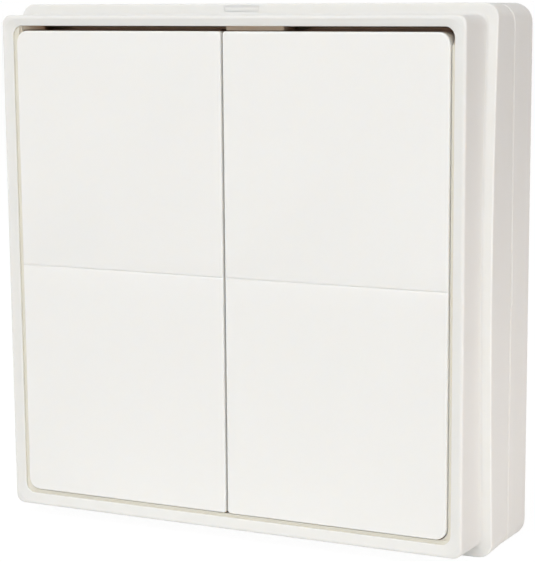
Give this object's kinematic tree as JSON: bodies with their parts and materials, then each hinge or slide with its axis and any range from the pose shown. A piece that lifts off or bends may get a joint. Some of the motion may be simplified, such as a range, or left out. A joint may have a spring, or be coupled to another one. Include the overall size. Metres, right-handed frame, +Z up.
{
  "type": "wireless wall switch",
  "caption": "Surface-mounted wireless wall switch with tall rocker keys side by side in a thin rim, on a stepped square base with a wall plate behind.",
  "frame": {"origin": "centre of the wall plate's back face, on the wall plane", "axes": "+Y into the wall, -Y out of the front, +Z up, +X to the right as seen from the front"},
  "size_m": [0.086, 0.0233, 0.086],
  "materials": {
    "ivory_housing": "fine moulded grain, satin",
    "ivory_keys": "satin",
    "ivory_plate": "fine moulded grain, satin",
    "brown_carrier": "moulded, matte",
    "white_plunger": "moulded, smooth",
    "spring_steel": "drawn wire and sheet",
    "plated_screw": "zinc plated",
    "pin_steel": "ground",
    "green_board": "solder mask",
    "blue_board": "solder mask",
    "black_holder": "moulded, matte",
    "cell_steel": "nickel plated",
    "contact_nickel": "nickel plated sheet",
    "shield_tin": "tin plated sheet",
    "antenna_ceramic": "fired ceramic",
    "chip_black": "moulded, matte",
    "crystal_can": "gold plated lid",
    "capacitor_tan": "fired ceramic",
    "resistor_black": "glazed"
  },
  "bodies": {
    "housing": {"front_housing": "ivory_housing", "wall_plate": "ivory_plate", "rocker_carrier": "brown_carrier", "left_pivot_pin": "pin_steel", "right_pivot_pin": "pin_steel", "upper_left_return_spring": "spring_steel", "upper_left_contact_dome": "spring_steel", "lower_left_return_spring": "spring_steel", "lower_left_contact_dome": "spring_steel", "upper_right_return_spring": "spring_steel", "upper_right_contact_dome": "spring_steel", "lower_right_return_spring": "spring_steel", "lower_right_contact_dome": "spring_steel", "circuit_board": "green_board", "board_screws": "plated_screw", "carrier_screws": "plated_screw", "coin_cell_holder": "black_holder", "coin_cell": "cell_steel", "cell_negative_contact": "contact_nickel", "cell_positive_clip": "contact_nickel", "radio_module": "blue_board", "radio_shield": "shield_tin", "antenna": "antenna_ceramic", "controller_chip": "chip_black", "crystal": "crystal_can", "capacitors": "capacitor_tan", "resistors": "resistor_black"},
    "left_rocker": {"left_rocker": "ivory_keys"},
    "right_rocker": {"right_rocker": "ivory_keys"},
    "upper_left_plunger": {"upper_left_plunger": "white_plunger"},
    "lower_left_plunger": {"lower_left_plunger": "white_plunger"},
    "upper_right_plunger": {"upper_right_plunger": "white_plunger"},
    "lower_right_plunger": {"lower_right_plunger": "white_plunger"}
  },
  "joints": [
    {"name": "left_rocker_tilt", "type": "hinge", "parent": "housing", "child": "left_rocker", "pos_m": [-0.01939, -0.0177, 0], "axis": [-1, 0, 0], "range_deg": [-1.5, 1.5], "stiffness_Nm_per_rad": 0.8, "deforming": ["upper_left_return_spring", "upper_left_contact_dome", "lower_left_return_spring", "lower_left_contact_dome"]},
    {"name": "upper_left_plunger_slide", "type": "slide", "parent": "housing", "child": "upper_left_plunger", "axis": [0, 1, 0], "range_m": [-0.00074, 0.00074]},
    {"name": "lower_left_plunger_slide", "type": "slide", "parent": "housing", "child": "lower_left_plunger", "axis": [0, 1, 0], "range_m": [-0.00074, 0.00074]},
    {"name": "right_rocker_tilt", "type": "hinge", "parent": "housing", "child": "right_rocker", "pos_m": [0.01939, -0.0177, 0], "axis": [-1, 0, 0], "range_deg": [-1.5, 1.5], "stiffness_Nm_per_rad": 0.8, "deforming": ["upper_right_return_spring", "upper_right_contact_dome", "lower_right_return_spring", "lower_right_contact_dome"]},
    {"name": "upper_right_plunger_slide", "type": "slide", "parent": "housing", "child": "upper_right_plunger", "axis": [0, 1, 0], "range_m": [-0.00074, 0.00074]},
    {"name": "lower_right_plunger_slide", "type": "slide", "parent": "housing", "child": "lower_right_plunger", "axis": [0, 1, 0], "range_m": [-0.00074, 0.00074]}
  ],
  "couplings": [
    {"joint": "upper_left_plunger_slide", "follows": "left_rocker_tilt", "m_per_rad": 0.028},
    {"joint": "lower_left_plunger_slide", "follows": "left_rocker_tilt", "m_per_rad": -0.028},
    {"joint": "upper_right_plunger_slide", "follows": "right_rocker_tilt", "m_per_rad": 0.028},
    {"joint": "lower_right_plunger_slide", "follows": "right_rocker_tilt", "m_per_rad": -0.028}
  ]
}
